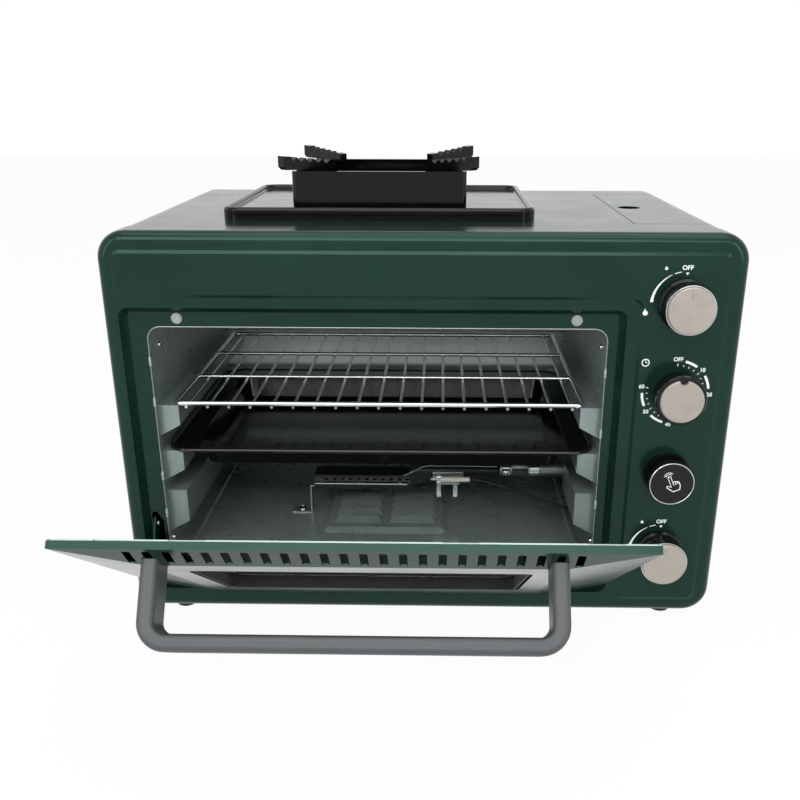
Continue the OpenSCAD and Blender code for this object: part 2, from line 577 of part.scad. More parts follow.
module hob_spark() color([0.92, 0.9, 0.85]) P() translate([hob_x, hob_y - 39.8, top - 24]) {
  cylinder(h = 36, d = 4.4);
  cylinder(h = 44, d = 1.8);
  translate([-3, 0, 0]) cube([6, 15.75, 2]);
}
module wind_shield() color(enamel) P() translate([hob_x, hob_y, top + 7]) {
  a = shield_w / 2;
  loop(box_pts(-a, -a, a, a), 4) {
    translate([-1.2, 0]) square([1.2, shield_h]);
    // folded foot and rolled top edge
    translate([-1.2, 0]) square([3, 1.2]);
    translate([-3.4, shield_h - 1.2]) square([3.4, 1.2]);
  }
}
teeth = 5;
arm_r0 = 60;
arm_r1 = 118;
module pan_arms() color(enamel) P() translate([hob_x, hob_y, top + 7 + shield_h]) for (q = [0:3])
  rotate([0, 0, 45 + 90 * q]) translate([0, 4, 0]) rotate([90, 0, 0]) {
    linear_extrude(8) polygon(concat(
      [[arm_r0, 0], [arm_r1 - 3, 1.5], [arm_r1, 4], [arm_r1, 13], [arm_r1 - 8, 12.4]],
      [for (k = [0:teeth - 1], m = [0, 1]) [arm_r1 - 10 - k * 9 - m * 4.5, 11.6 - 0.9 * k - (m ? 0 : 3)]],
      [[arm_r0, 7.2]]));
    // foot that hooks inside the corner of the shield
    translate([0, 0, 1]) linear_extrude(6) polygon([[arm_r0 + 8, 1], [shield_w * 0.7071 - 8, 1], [shield_w * 0.7071 - 8, -12],
      [arm_r0 + 18, -12]]);
  }

// ---- Gas compartment ----
module gas_lid() color(green) P() {
  difference() {
    intersection() { casing_shell(lid_y0 + 1, lid_y1 - 1); lid_window(0.8); }
    translate([lid_x0 + 17, (lid_y0 + lid_y1) / 2, body_h - 5]) cylinder(h = 10, d = 21);
  }
  // knuckles on the lower edge
  for (y = [lid_y0 + 30, lid_y1 - 54]) difference() {
    union() {
      rod_y(y, y + 24, lid_pin_x, lid_pin_z, 4);
      box([lid_pin_x, y, lid_pin_z], [lid_pin_x + 1, y + 24, lid_pin_z + 4]);
    }
    rod_y(y - 1, y + 25, lid_pin_x, lid_pin_z, 2 + 2 * run_fit);
  }
}
module lid_hinge() color(steel) P() {
  rod_y(lid_y0 + 5, lid_y1 - 5, lid_pin_x, lid_pin_z, 2, $fn = 24);
  for (y = [lid_y0 + 5, (lid_y0 + lid_y1) / 2 - 12, lid_y1 - 29]) {
    rod_y(y, y + 24, lid_pin_x, lid_pin_z, 4);
    box([lid_pin_x, y, lid_pin_z - 2.4], [lid_pin_x + 1, y + 24, lid_pin_z]);
  }
}
cart_z = body_h - 92;
module gas_bay() color(steel) P() {
  x0 = lid_x0 + 1;
  x1 = casing_w / 2 - sheet - 3.5;
  translate([0, lid_y1 + 8, 0]) rotate([90, 0, 0]) linear_extrude(lid_y1 - lid_y0 + 16) difference() {
    translate([x0, cart_z - 2]) square([x1 - x0, 78]);
    translate([x0 + 1, cart_z - 1]) square([x1 - x0 - 2, 90]);
  }
  // end walls reach the casing, and two cradles carry a 67 mm cartridge
  for (y = [lid_y0 - 8, lid_y1 + 7]) box([x0, y, cart_z - 2], [casing_w / 2 - sheet, y + 1, cart_z + 60]);
  for (y = [lid_y0 + 60, lid_y1 - 50]) difference() {
    box([x0 + 1, y, cart_z - 1], [x1 - 1, y + 4, cart_z + 22]);
    rod_y(y - 1, y + 5, (x0 + x1) / 2, cart_z + 36, 68);
  }
}
module regulator() color(chrome) P() translate([(lid_x0 + casing_w / 2 - 3.5) / 2, lid_y0 - 7, cart_z + 36]) {
  rotate([-90, 0, 0]) cylinder(h = 24, d = 34);
  rotate([-90, 0, 0]) cylinder(h = 31, d = 12);
  // lever plate that locks the cartridge
  translate([-20, 24, -6]) cube([40, 2, 12]);
}
module gas_valve(z, h) P() translate([ctl_x, sheet, z]) {
  difference() {
    union() {
      translate([-14, 0, -h / 2]) cube([28, 26, h]);
      rotate([-90, 0, 0]) cylinder(h = 34, d = 20);
      translate([-24, 13, 0]) rotate([0, 90, 0]) cylinder(h = 12, d = 10);
    }
    rotate([-90, 0, 0]) translate([0, 0, -1]) cylinder(h = 23, d = stem_d + 2 * run_fit);
  }
}
module stove_valve() color([0.72, 0.62, 0.38]) difference() { gas_valve(ctl_z[0], 30); }
module oven_valve() color([0.72, 0.62, 0.38]) difference() { gas_valve(ctl_z[3], 30); }
module timer_works() color(steel) P() translate([ctl_x, sheet, ctl_z[1]]) difference() {
  union() {
    rotate([-90, 0, 0]) cylinder(h = 26, d = 52);
    translate([-30, 0, -6]) cube([60, 1.5, 12]);
  }
  rotate([-90, 0, 0]) translate([0, 0, -1]) cylinder(h = 20, d = stem_d + 2 * run_fit);
}
module safety_valve() color([0.72, 0.62, 0.38]) P() translate([ctl_x, sheet, ctl_z[2]]) difference() {
  union() {
    translate([-20, 0, -19]) cube([40, 38, 38]);
    translate([-26.9, 13, 0]) rotate([0, 90, 0]) cylinder(h = 8, d = 10);
  }
  rotate([-90, 0, 0]) translate([0, 0, -1]) cylinder(h = 26, d = 30.8);
}
module pipe(pts, d) for (i = [0:len(pts) - 2]) {
  w = pts[i + 1] - pts[i];
  translate(pts[i]) rotate([0, acos(w[2] / norm(w)), atan2(w[1], w[0])]) cylinder(h = norm(w), d = d);
  // turned elbow at each bend
  if (i > 0) translate(pts[i]) sphere(d = d + 1);
}
module gas_pipes() color([0.72, 0.45, 0.30]) P() {
  // supply pipe down to both valves, fed through the front wall of the gas bay
  x = ctl_x - 30;
  pipe([[ctl_x - 24, 14, ctl_z[3]], [x, 14, ctl_z[3]], [x, 14, ctl_z[0]], [ctl_x - 24, 14, ctl_z[0]]], 6);
  pipe([[x + 20, lid_y0 - 8, cart_z + 14], [x + 20, 42, cart_z + 14], [x, 42, cart_z + 14], [x, 14, cart_z + 14]], 6);
}
module burner_pipes() color([0.72, 0.45, 0.30]) P() {
  // from the back of each valve to its burner
  pipe([[ctl_x, 35, ctl_z[0]], [ctl_x, 46, ctl_z[0]], [lid_x0 - 12, 46, ctl_z[0]], [lid_x0 - 12, hob_y, top - 22],
        [lid_x0 - 26, hob_y, top - 22]], 6);
  pipe([[ctl_x, 35, ctl_z[3]], [ctl_x, 46, ctl_z[3]], [ctl_x, 46, burn_z + 4], [cav_x1 + 22, 46, burn_z + 4],
        [cav_x1 + 22, burn_y, burn_z + 17], [cav_x1 + 16, burn_y, burn_z + 17]], 6);
}

// ---- Controls ----
kb = -bead - 0.8;                     // back face of the knobs
module knob_skirt(d, len) rotate([90, 0, 0]) rotate_extrude() polygon([[0, 0], [d / 2, 0], [d / 2, 3],
  [d / 2 - 1.6, 5], [d / 2 - 1.6, len - 1.5], [d / 2 - 2.4, len], [0, len]]);
module stem(i) rod_y(kb, 20, 0, 0, stem_d);
module gas_knob(i) P() translate([ctl_x, 0, ctl_z[i]]) {
  difference() {
    translate([0, kb, 0]) knob_skirt(knob_d, 22);
    // grip flutes round the barrel
    for (a = [0:20:340]) rotate([0, a, 0]) translate([knob_d / 2 - 0.9, kb - 5.5, 0]) rotate([90, 0, 0]) cylinder(h = 13, d = 1.6, $fn = 16);
  }
  rod_y(kb - 1, 20, 0, 0, stem_d);
}
module knob_cap(i, d, len) P() translate([ctl_x, kb - len, ctl_z[i]]) rotate([90, 0, 0]) difference() {
  rotate_extrude() polygon([[0, 0], [d / 2, 0], [d / 2, 2.2], [d / 2 - 0.8, 3], [0, 3]]);
  if (i == 1) translate([0, d / 2, -1]) { cylinder(h = 9, d = 7); translate([-3.5, 0, 0]) cube([7, 7, 9]); }
}
// raised index mark on the two gas knobs
module knob_mark(i) P() translate([ctl_x, kb - 25, ctl_z[i] + knob_d / 2 - 7.5]) rotate([90, 0, 0]) {
  cylinder(h = 0.7, d = 1.8);
  translate([-0.9, -3.5, 0]) cube([1.8, 3.5, 0.7]);
}
module stove_knob() color(plastic) gas_knob(0);
module stove_knob_cap() color(steel) { knob_cap(0, knob_d - 4.4, 22); knob_mark(0); }
module oven_knob() color(plastic) gas_knob(3);
module oven_knob_cap() color(steel) { knob_cap(3, knob_d - 4.4, 22); knob_mark(3); }
module timer_knob() color(plastic) P() translate([ctl_x, 0, ctl_z[1]]) {
  translate([0, kb, 0]) rotate([90, 0, 0]) rotate_extrude() polygon([[0, 0], [knob_d / 2 - 3, 0], [knob_d / 2 - 3, 18], [knob_d / 2 - 0.4, 19],
    [knob_d / 2 - 0.4, 21], [knob_d / 2 - 1.2, 22], [0, 22]]);
  rod_y(kb - 1, 18, 0, 0, stem_d);
}
module timer_knob_cap() color(steel) knob_cap(1, knob_d - 6.5, 22);
module safety_button() color(plastic) P() translate([ctl_x, 0, ctl_z[2]]) {
  rotate([90, 0, 0]) rotate_extrude() polygon([[0, 0], [15, 0], [15, 14], [19, 14], [19, 20.5], [18, 21.5], [0, 21.5]]);
  rod_y(-1, 14, 0, 0, 15.1 * 2 - 0.2);
}
module button_collar() color(chrome) P() front() translate([ctl_x, ctl_z[2], bead]) difference() {
  cylinder(h = 5, d = knob_d - 1);
  translate([0, 0, -1]) cylinder(h = 9, d = 30.8);
}

front_panel();
outer_casing();
base_pan();
back_panel();
rubber_feet();
cavity_left();
cavity_right();
cavity_top();
cavity_back();
cavity_floor();
door_shell();
door_inner_frame();
door_glass();
door_handle();
handle_screws();
hinge_pins();
hinge_lugs();
door_stay();
door_bumpers();
wire_rack();
bake_tray();
oven_burner();
venturi_tube();
jet_nut();
burner_bracket();
bracket_screw();
electrode_bracket();
spark_electrode();
igniter_lead();
lead_grommet();
drip_tray();
hob_burner();
hob_cap();
hob_spark();
wind_shield();
pan_arms();
gas_lid();
lid_hinge();
gas_bay();
regulator();
stove_valve();
oven_valve();
timer_works();
safety_valve();
gas_pipes();
burner_pipes();
stove_knob();
stove_knob_cap();
oven_knob();
oven_knob_cap();
timer_knob();
timer_knob_cap();
safety_button();
button_collar();
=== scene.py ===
"""Portable gas camping oven with a hob on top: finishes, small fittings, dial prints and studio.

Lengths are millimetres in the front panel's own space: x across, y back, z up from the panel's bottom
edge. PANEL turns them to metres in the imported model's space, and DOOR does the same from the door's pivot.
"""
import math

import bmesh
import bpy
from mathutils import Matrix, Vector


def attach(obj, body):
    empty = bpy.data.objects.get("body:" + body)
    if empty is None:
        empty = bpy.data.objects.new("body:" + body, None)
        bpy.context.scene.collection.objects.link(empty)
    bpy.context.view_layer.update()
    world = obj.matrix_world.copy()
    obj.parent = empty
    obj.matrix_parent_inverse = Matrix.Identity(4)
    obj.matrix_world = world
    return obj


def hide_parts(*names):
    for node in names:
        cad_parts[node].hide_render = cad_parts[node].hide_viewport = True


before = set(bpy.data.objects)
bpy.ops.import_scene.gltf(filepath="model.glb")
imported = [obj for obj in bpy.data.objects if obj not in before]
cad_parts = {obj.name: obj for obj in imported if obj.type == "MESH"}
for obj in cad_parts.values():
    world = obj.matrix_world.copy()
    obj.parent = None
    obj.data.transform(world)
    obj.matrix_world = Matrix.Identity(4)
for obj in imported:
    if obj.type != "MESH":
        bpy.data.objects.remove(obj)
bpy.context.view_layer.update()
scene = bpy.context.scene

# ---- Sizes shared with the part's source, in mm ----
MM = 0.001
DEPTH_SHIFT = -52.8767        # from the panel face to the middle of the footprint
FOOT_H = 8
OPEN = math.radians(55)
DOOR_X, PIVOT_Y, PIVOT_Z = -40.25, 2, 27
DOOR_W, DOOR_TOP = 400, 246.2
DOOR_INNER_Y = 4.0            # inner face of the door, from its pivot
GLASS_Z0, GLASS_Z1 = DOOR_TOP - 196, DOOR_TOP - 60
STOVE, TIMER, BUTTON, OVEN = range(4)         # the controls from top to bottom
DIAL_X, TOP_DIAL_Z, DIAL_PITCH = 210, 284.5, 73.9
DIAL_Z = [TOP_DIAL_Z - DIAL_PITCH * i for i in range(4)]
PRINT_Y = -1.2                # face of the raised control pads
CAVITY_X0, CAVITY_X1, CAVITY_Z0, CAVITY_Z1 = -228, 154, 46, 262
FLANGE_Y = 8.0                # front face of the recess round the cavity mouth
HOB_X, HOB_Y, TOP_Z = -38.75, 171, 339
BURNER_X0, BURNER_STEP, BURNER_X1, BURNER_Y, BURNER_Z = -108, -13, 75, 115, 76
TUBE_Z = BURNER_Z + 17        # axis of the mixing tube
TUBE_R = 7.5
CASING_SIDE_X = 259

QUARTER = math.radians(90)
PANEL = Matrix.Translation(Vector((0, DEPTH_SHIFT, FOOT_H)) * MM) @ Matrix.Scale(MM, 4)
DOOR = PANEL @ Matrix.Translation((DOOR_X, PIVOT_Y, PIVOT_Z)) @ Matrix.Rotation(OPEN, 4, "X")
UPRIGHT = Matrix.Rotation(QUARTER, 4, "X")      # drawn flat, then stood up facing forwards


# ---- Finishes ----
def tint(code):
    """The linear colour of an sRGB hex value."""
    parts = [int(code[i:i + 2], 16) / 255 for i in (1, 3, 5)]
    return tuple(v / 12.92 if v <= 0.04045 else ((v + 0.055) / 1.055) ** 2.4 for v in parts) + (1,)


def per(size_mm):
    """Texture scale that repeats every size_mm."""
    return 1 / (size_mm * MM)


def add(tree, kind, feeds=None, **settings):
    """Adds one node; feeds gives its inputs a value or another node's output."""
    node = tree.nodes.new(kind)
    for key, value in settings.items():
        setattr(node, key, value)
    for key, value in (feeds or {}).items():
        if isinstance(value, bpy.types.NodeSocket):
            tree.links.new(value, node.inputs[key])
        else:
            node.inputs[key].default_value = value
    return node


def bare_material(name):
    """A material with an empty node tree, that tree, and the piece's own coordinates in it."""
    m = bpy.data.materials.new(name)
    m.use_nodes = True
    m.node_tree.nodes.clear()
    return m, m.node_tree, add(m.node_tree, "ShaderNodeTexCoord").outputs["Object"]


def finish(name, dark, light, grain, bump, rough, cloud, depth, stretch=(1, 1, 1), **gloss):
    """A surface whose colour drifts between two shades over cloud mm, with a fine relief of grain mm.

    rough is the (smooth, dull) pair that the same drift moves between, bump is the relief's strength and
    depth its height in mm. stretch draws the relief out along an axis, and gloss holds shader inputs.
    """
    m, t, where = bare_material(name)
    stretched = add(t, "ShaderNodeMapping", {"Vector": where, "Scale": stretch}).outputs["Vector"]
    drift = add(t, "ShaderNodeTexNoise", {"Vector": where, "Scale": per(cloud), "Detail": 3.0,
                                          "Roughness": 0.55})
    shade = add(t, "ShaderNodeMix", {0: drift.outputs["Fac"], 6: tint(dark), 7: tint(light)},
                data_type="RGBA")
    polish = add(t, "ShaderNodeMapRange", {"Value": drift.outputs["Fac"], "From Min": 0.3, "From Max": 0.7,
                                           "To Min": rough[0], "To Max": rough[1]})
    relief = add(t, "ShaderNodeTexNoise", {"Vector": stretched, "Scale": per(grain), "Detail": 2.0})
    normal = add(t, "ShaderNodeBump", {"Height": relief.outputs["Fac"], "Strength": bump,
                                       "Distance": depth * MM})
    feeds = {"Base Color": shade.outputs[2], "Roughness": polish.outputs["Result"],
             "Normal": normal.outputs["Normal"]}
    feeds.update(gloss)
    surface = add(t, "ShaderNodeBsdfPrincipled", feeds)
    add(t, "ShaderNodeOutputMaterial", {"Surface": surface.outputs["BSDF"]})
    return m


# Stoved flake enamel on pressed steel: fine metal flake tints its own reflection deep green, with faint
# orange peel
GREEN = finish("stoved_green_flake_enamel", "#152c24", "#1b372d", grain=1.6, bump=0.15, rough=(0.15, 0.22),
               cloud=60, depth=0.03, IOR=1.4, Metallic=0.5, **{"Specular IOR Level": 0.35})
# Vitreous enamel: fired glass over steel, near black, with a slow ripple that bends the reflections
VITREOUS = finish("black_vitreous_enamel", "#050505", "#090909", grain=4, bump=0.3, rough=(0.09, 0.16),
                  cloud=20, depth=0.08, IOR=1.45, **{"Specular IOR Level": 0.28})
# Baking tray enamel: the same fired black, wiped smooth, so it mirrors the bright rear wall
TRAY_ENAMEL = finish("polished_tray_enamel", "#050505", "#0a0a0a", grain=5, bump=0.25, rough=(0.08, 0.14),
                     cloud=22, depth=0.06, IOR=1.5, **{"Specular IOR Level": 0.5})
# Aluminised steel sheet: dull silver with rolling marks that run front to back
ALUMINISED = finish("aluminised_steel_sheet", "#7b8886", "#94a19f", grain=0.8, bump=0.25, rough=(0.24, 0.36),
                    cloud=28, depth=0.03, stretch=(1, 0.06, 1), Metallic=0.45)
# Pressed cavity wall: the same sheet, with rolling marks that run along the wall
CAVITY_WALL = finish("aluminised_cavity_wall", "#748280", "#8e9b99", grain=0.8, bump=0.25, rough=(0.26, 0.38),
                     cloud=30, depth=0.03, stretch=(0.06, 0.06, 1), Metallic=0.4)
# Rear wall of the cavity: the brightest sheet, the same aluminised steel painted much lighter, a painted pool
# of light for the light that comes in through the mouth
REAR_WALL_PAINTED_LIGHT = finish("aluminised_rear_wall_painted_light", "#bac5c3", "#cfd8d6", grain=0.8, bump=0.2, rough=(0.3, 0.42),
                   cloud=45, depth=0.03, stretch=(0.06, 1, 1), Metallic=0.15)
# Zinc-plated steel: cool silver with a fine matt grain, on pins, brackets and pressed hardware
ZINC = finish("zinc_plated_steel", "#8f9494", "#b3b8b7", grain=0.7, bump=0.3, rough=(0.28, 0.42),
              cloud=9, depth=0.03, Metallic=0.9)
# Bright nickel-chrome plate on drawn wire: mirror like, with faint draw lines
CHROME = finish("bright_chrome_plate", "#c9cbcc", "#dedfe0", grain=0.6, bump=0.08, rough=(0.1, 0.2),
                cloud=14, depth=0.01, Metallic=1.0)
# Black pressed steel of the burner: oxidised by heat, half metal, with a soft edge gleam
BURNER_STEEL = finish("oxidised_burner_steel", "#17191a", "#2a2d2e", grain=1.2, bump=0.4, rough=(0.3, 0.45),
                      cloud=16, depth=0.06, Metallic=0.6)
# Cast aluminium burner head: pale grey with the pitted skin of a die casting
CAST = finish("die_cast_aluminium", "#6f7271", "#8b8e8c", grain=0.9, bump=0.5, rough=(0.45, 0.6),
              cloud=12, depth=0.08, Metallic=0.8)
# Moulded nylon grip: dark grey with a fine spark-eroded texture that spreads the light
GRIP = finish("moulded_grey_nylon", "#35383a", "#3f4244", grain=0.7, bump=0.5, rough=(0.36, 0.46),
              cloud=40, depth=0.05, IOR=1.5)
# Gloss phenolic knobs: deep black with a hard, clean reflection
KNOB = finish("gloss_black_phenolic", "#080809", "#101112", grain=0.9, bump=0.06, rough=(0.14, 0.22),
              cloud=15, depth=0.02, IOR=1.5, **{"Specular IOR Level": 0.28})
# Brushed knob discs: warm pale aluminium with upright brush lines, half a millimetre wide so they show
BRUSHED = finish("brushed_warm_aluminium", "#958f89", "#a8a19a", grain=0.5, bump=0.35, rough=(0.38, 0.5),
                 cloud=10, depth=0.02, stretch=(1, 1, 0.03), Metallic=0.55)
# Moulded rubber: matt black, slightly dusty
RUBBER = finish("moulded_rubber", "#101010", "#1b1b1b", grain=0.8, bump=0.5, rough=(0.7, 0.85),
                cloud=8, depth=0.06, IOR=1.52)
# Turned brass valve bodies: yellow metal with tool marks
BRASS = finish("turned_brass", "#a98746", "#c4a35e", grain=0.5, bump=0.3, rough=(0.25, 0.38),
               cloud=9, depth=0.02, Metallic=1.0)
# Drawn copper gas pipe, warmed and slightly dulled by handling
COPPER = finish("drawn_copper_pipe", "#8f5637", "#b3704a", grain=0.6, bump=0.2, rough=(0.25, 0.4),
                cloud=11, depth=0.02, Metallic=1.0)
# Glazed alumina insulator: off-white with a wet gloss
CERAMIC = finish("glazed_alumina", "#d8d4c8", "#e6e2d6", grain=1.0, bump=0.08, rough=(0.12, 0.2),
                 cloud=10, depth=0.02, IOR=1.6)
# Silicone-sleeved high-tension lead: black, half matt
LEAD = finish("silicone_lead_sleeve", "#0e0e0f", "#19191a", grain=0.6, bump=0.3, rough=(0.45, 0.6),
              cloud=8, depth=0.02, IOR=1.45)
# Screen-printed epoxy ink: near white, with pinholes where the weave of the screen left less ink
INK = finish("screen_printed_ink", "#cfd4d0", "#e8ebe8", grain=0.5, bump=0.3, rough=(0.45, 0.55),
             cloud=2.5, depth=0.02)
# Fired ceramic border of the window glass: black and half glossy
FRIT = finish("fired_black_border", "#08090a", "#101213", grain=1.0, bump=0.1, rough=(0.2, 0.3),
              cloud=18, depth=0.02, IOR=1.52)
# Painted shade for the inside of screw recesses: near black, where a cross recess would lie in shadow
RECESS_SHADE = finish("shadowed_recess_shade", "#050505", "#0b0b0b", grain=1.0, bump=0.2, rough=(0.6, 0.8),
                cloud=6, depth=0.03)


def tempered_glass():
    """Window glass: clear soda-lime with the faint green of its iron and an almost flat surface."""
    m, t, where = bare_material("tempered_soda_lime_glass")
    roller = add(t, "ShaderNodeTexNoise", {"Vector": where, "Scale": per(45), "Detail": 1.0})
    wave = add(t, "ShaderNodeBump", {"Height": roller.outputs["Fac"], "Strength": 0.04, "Distance": 0.1 * MM})
    smear = add(t, "ShaderNodeMapRange", {"Value": roller.outputs["Fac"], "To Min": 0.0, "To Max": 0.06})
    glass = add(t, "ShaderNodeBsdfPrincipled",
                {"Base Color": tint("#dfe9e4"), "Transmission Weight": 1.0, "IOR": 1.52,
                 "Roughness": smear.outputs["Result"], "Normal": wave.outputs["Normal"]})
    add(t, "ShaderNodeOutputMaterial", {"Surface": glass.outputs["BSDF"]})
    return m


GLASS = tempered_glass()

NODE_FINISH = {
    "front_panel": GREEN, "outer_casing": GREEN, "base_pan": GREEN, "back_panel": GREEN, "door_shell": GREEN,
    "gas_lid": GREEN, "rubber_feet": RUBBER, "cavity_left": CAVITY_WALL, "cavity_right": CAVITY_WALL,
    "cavity_top": ALUMINISED, "cavity_back": REAR_WALL_PAINTED_LIGHT, "cavity_floor": ALUMINISED,
    "door_inner_frame": ALUMINISED, "door_glass": GLASS, "door_handle": GRIP, "handle_screws": CHROME,
    "hinge_pins": ZINC, "hinge_lugs": ZINC, "door_stay": GREEN, "door_bumpers": ZINC, "wire_rack": CHROME,
    "bake_tray": TRAY_ENAMEL, "oven_burner": BURNER_STEEL, "venturi_tube": ZINC, "jet_nut": BRASS,
    "burner_bracket": ZINC, "bracket_screw": CHROME, "electrode_bracket": CHROME, "spark_electrode": CERAMIC,
    "lead_grommet": RUBBER, "drip_tray": VITREOUS, "hob_burner": CAST, "hob_cap": VITREOUS,
    "hob_spark": CERAMIC, "wind_shield": VITREOUS, "pan_arms": VITREOUS, "lid_hinge": ZINC,
    "gas_bay": ALUMINISED, "regulator": ZINC, "stove_valve": BRASS, "oven_valve": BRASS, "timer_works": ZINC,
    "safety_valve": BRASS, "gas_pipes": COPPER, "burner_pipes": COPPER, "stove_knob": KNOB,
    "stove_knob_cap": BRUSHED, "oven_knob": KNOB, "oven_knob_cap": BRUSHED, "timer_knob": KNOB,
    "timer_knob_cap": BRUSHED, "safety_button": KNOB, "button_collar": KNOB,
}
for node_name, look in NODE_FINISH.items():
    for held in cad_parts[node_name].material_slots:
        held.material = look


# ---- Making pieces ----
SMOOTH_BELOW = math.radians(40)         # a sharper edge than this stays crisp


def show(name, data, look, body):
    """Puts a finished mesh or curve into the scene, riding on its body."""
    made = bpy.data.objects.new(name, data)
    scene.collection.objects.link(made)
    if not data.materials:
        data.materials.append(look)
    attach(made, body)
    return made


def piece(bm, name, look, body, matrix=PANEL):
    """Shows the working mesh, in metres, smooth except over sharp edges."""
    bmesh.ops.recalc_face_normals(bm, faces=bm.faces)
    bm.transform(matrix)
    for face in bm.faces:
        face.smooth = True
    for edge in bm.edges:
        if len(edge.link_faces) == 2:
            edge.smooth = edge.calc_face_angle(0) < SMOOTH_BELOW
    mesh = bpy.data.meshes.new(name)
    bm.to_mesh(mesh)
    bm.free()
    return show(name, mesh, look, body)


def turn(bm, profile, steps, move=Matrix()):
    """Spins (radius, height) points about the height axis. A point at radius 0 closes the end."""
    angles = [2 * math.pi * i / steps for i in range(steps)]
    rings = []
    for r, h in profile:
        if r == 0:
            rings.append([bm.verts.new(move @ Vector((0, 0, h)))])
        else:
            rings.append([bm.verts.new(move @ Vector((r * math.cos(a), r * math.sin(a), h))) for a in angles])
    for low, high in zip(rings, rings[1:]):
        for i in range(steps):
            j = (i + 1) % steps
            corners = [low[i % len(low)], low[j % len(low)], high[j % len(high)], high[i % len(high)]]
            unique = list(dict.fromkeys(corners))
            if len(unique) > 2:
                bm.faces.new(unique)


def pressing(bm, outline, thick, move=Matrix(), edge=0.0):
    """A flat cut-out of that thickness, with its upper rim eased by edge."""
    low = [bm.verts.new(move @ Vector((x, y, 0))) for x, y in outline]
    cx = sum(p[0] for p in outline) / len(outline)
    cy = sum(p[1] for p in outline) / len(outline)
    mid = [bm.verts.new(move @ Vector((x, y, thick - edge))) for x, y in outline]
    layers = [low, mid]
    if edge:
        ease = []
        for x, y in outline:
            d = math.hypot(x - cx, y - cy) or 1
            inward = (x - (x - cx) / d * edge, y - (y - cy) / d * edge, thick)
            ease.append(bm.verts.new(move @ Vector(inward)))
        layers.append(ease)
    for a, b in zip(layers, layers[1:]):
        for i in range(len(outline)):
            j = (i + 1) % len(outline)
            bm.faces.new((a[i], a[j], b[j], b[i]))
    bm.faces.new(list(reversed(low)))
    bm.faces.new(layers[-1])


def rounded(w, h, r, steps=6):
    """Corner points of a rectangle with radiused corners, centred."""
    points = []
    for k, (sx, sy) in enumerate(((1, 1), (-1, 1), (-1, -1), (1, -1))):
        for i in range(steps + 1):
            a = math.radians(90 * k + 90 * i / steps)
            points.append((sx * (w / 2 - r) + r * math.cos(a), sy * (h / 2 - r) + r * math.sin(a)))
    return points


def band(r_in, r_out, start, end, taper=1.0, steps=20):
    """Outline of an arc band in degrees, whose width falls to taper at its far end."""
    outer, inner = [], []
    mid, half = (r_in + r_out) / 2, (r_out - r_in) / 2
    for i in range(steps + 1):
        f = i / steps
        a = math.radians(start + (end - start) * f)
        w = half * (1 - f * (1 - taper))
        outer.append(((mid + w) * math.cos(a), (mid + w) * math.sin(a)))
        inner.append(((mid - w) * math.cos(a), (mid - w) * math.sin(a)))
    return outer + inner[::-1]


def round_wire(name, points, radius, look, body, closed=False, matrix=PANEL, smooth=True):
    """A bent wire or bead along points, as a curve."""
    curve = bpy.data.curves.new(name, "CURVE")
    curve.dimensions = "3D"
    curve.bevel_depth = radius * MM
    curve.bevel_resolution = 3
    curve.resolution_u = 6
    line = curve.splines.new("BEZIER" if smooth else "POLY")
    held = line.bezier_points if smooth else line.points
    held.add(len(points) - 1)
    for spot, p in zip(held, points):
        q = matrix @ Vector(p)
        if smooth:
            spot.co = q
            spot.handle_left_type = spot.handle_right_type = "AUTO"
        else:
            spot.co = (*q, 1)
    line.use_cyclic_u = closed
    curve.use_fill_caps = True
    curve.materials.append(look)
    show(name, curve, look, body)


PAN_HEAD = [(0, 0), (1, 0), (1, 0.35), (0.9, 0.72), (0.6, 0.95), (0, 1)]     # shares of radius and height
HEAD_RISE = 0.32                                          # height as a share of the diameter
CROSS_LONG, CROSS_WIDE, CROSS_ROUND = 0.56, 0.13, 0.05    # driver cross, as shares of the diameter
CROSS_THICK, CROSS_SEAT = 0.12, 0.93                      # in mm, and as a share of the height


def screw_head(name, move, body, matrix=PANEL, d=7.0, look=CHROME):
    """Cross-recessed pan head standing on the local z = 0 plane; its cross is painted shade, a thin near-black
    slab set into the dome rather than a cut.
    """
    r, h = d / 2, d * HEAD_RISE
    bm = bmesh.new()
    turn(bm, [(r * across, h * up) for across, up in PAN_HEAD], 32, move)
    piece(bm, name, look, body, matrix)
    # The driver cross: a near-black slab just under the top of the dome, painted shade where the recess would
    # be dark
    bm = bmesh.new()
    arm_outline = rounded(d * CROSS_LONG, d * CROSS_WIDE, d * CROSS_ROUND, 2)
    for k in (0, 90):
        arm = Matrix.Rotation(math.radians(k), 4, "Z")
        pressing(bm, arm_outline, CROSS_THICK, move @ Matrix.Translation((0, 0, h * CROSS_SEAT)) @ arm)
    piece(bm, name + "_recess_shade", RECESS_SHADE, body, matrix)


# ---- Dial prints on the control pads ----
INK_FILM = 0.06               # thickness of the print
INK_LIFT = 0.01               # keeps the print just off the paint
INK_SPREAD = 0.12             # how far ink runs past a letter's outline
FLAME = [(0, -2.1), (1.3, -1.7), (1.75, -0.5), (1.3, 0.6), (0.75, 1.1), (0.7, 0.2), (0.15, 1.3), (-0.1, 2.4),
         (-0.9, 1.2), (-1.2, 0.3), (-1.75, -0.5), (-1.3, -1.7)]
FLAME_MARKS = ((-30.5, -6.5, 1.25), (-16.8, 29.0, 0.75))       # large and small: x, y, share of FLAME


def dial_place(i):
    """Print space of a dial: x right, y up, z out of the panel, on the pad's face."""
    return PANEL @ Matrix.Translation((DIAL_X, PRINT_Y - INK_LIFT, DIAL_Z[i])) @ UPRIGHT


